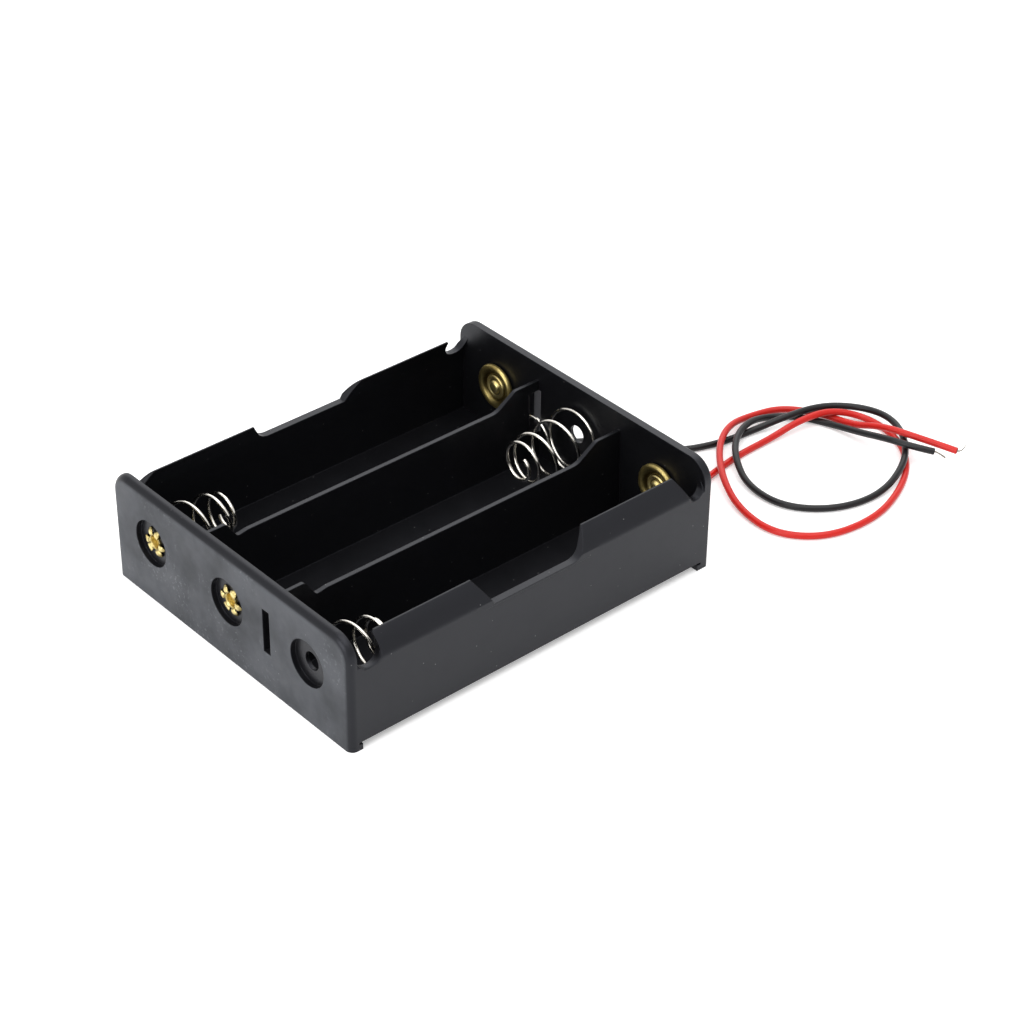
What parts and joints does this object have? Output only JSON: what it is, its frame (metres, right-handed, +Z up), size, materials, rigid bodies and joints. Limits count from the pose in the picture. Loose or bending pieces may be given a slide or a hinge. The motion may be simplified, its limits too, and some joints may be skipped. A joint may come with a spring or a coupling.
{
  "type": "cylindrical cell holder",
  "caption": "Open moulded holder for cylindrical cells side by side, with conical contact springs, round contact cups and two flying leads with bare ends.",
  "frame": {"origin": "middle of the case on the surface that its end walls stand on", "axes": "+X along the cells towards the lead end, +Y across the cells towards the black lead's side, +Z up and out of the open bays"},
  "size_m": [0.134, 0.0728, 0.0212],
  "materials": {
    "case_plastic": "black moulded ABS, slightly glossy",
    "contact_brass": "aged pressed brass",
    "rivet_brass": "bright brass",
    "spring_wire": "nickel-plated steel wire",
    "red_insulation": "red PVC insulation",
    "black_insulation": "black PVC insulation",
    "tinned_copper": "tinned copper strands",
    "solder": "shiny solder"
  },
  "bodies": {
    "case": {"case": "case_plastic", "contact_cup_1": "contact_brass", "contact_cup_2": "contact_brass", "contact_cup_3": "contact_brass", "contact_rivet_1": "rivet_brass", "contact_rivet_2": "rivet_brass", "contact_rivet_3": "rivet_brass", "spring_rivet": "rivet_brass", "red_lead": "red_insulation", "black_lead": "black_insulation", "black_lead_run": "black_insulation", "red_strands": "tinned_copper", "black_strands": "tinned_copper", "red_terminal_wire": "tinned_copper", "black_terminal_wire": "tinned_copper", "red_solder": "solder", "black_solder": "solder"},
    "spring_1": {"spring_1": "spring_wire"},
    "spring_2": {"spring_2": "spring_wire"},
    "spring_3": {"spring_3": "spring_wire"}
  },
  "joints": [
    {"name": "spring_1_compression", "type": "slide", "parent": "case", "child": "spring_1", "axis": [-1, 0, 0], "range_m": [0, 0.0085], "stiffness_N_per_m": 450, "deforming": ["spring_1"]},
    {"name": "spring_2_compression", "type": "slide", "parent": "case", "child": "spring_2", "axis": [1, 0, 0], "range_m": [0, 0.0085], "stiffness_N_per_m": 450, "deforming": ["spring_2"]},
    {"name": "spring_3_compression", "type": "slide", "parent": "case", "child": "spring_3", "axis": [-1, 0, 0], "range_m": [0, 0.0085], "stiffness_N_per_m": 450, "deforming": ["spring_3"]}
  ]
}
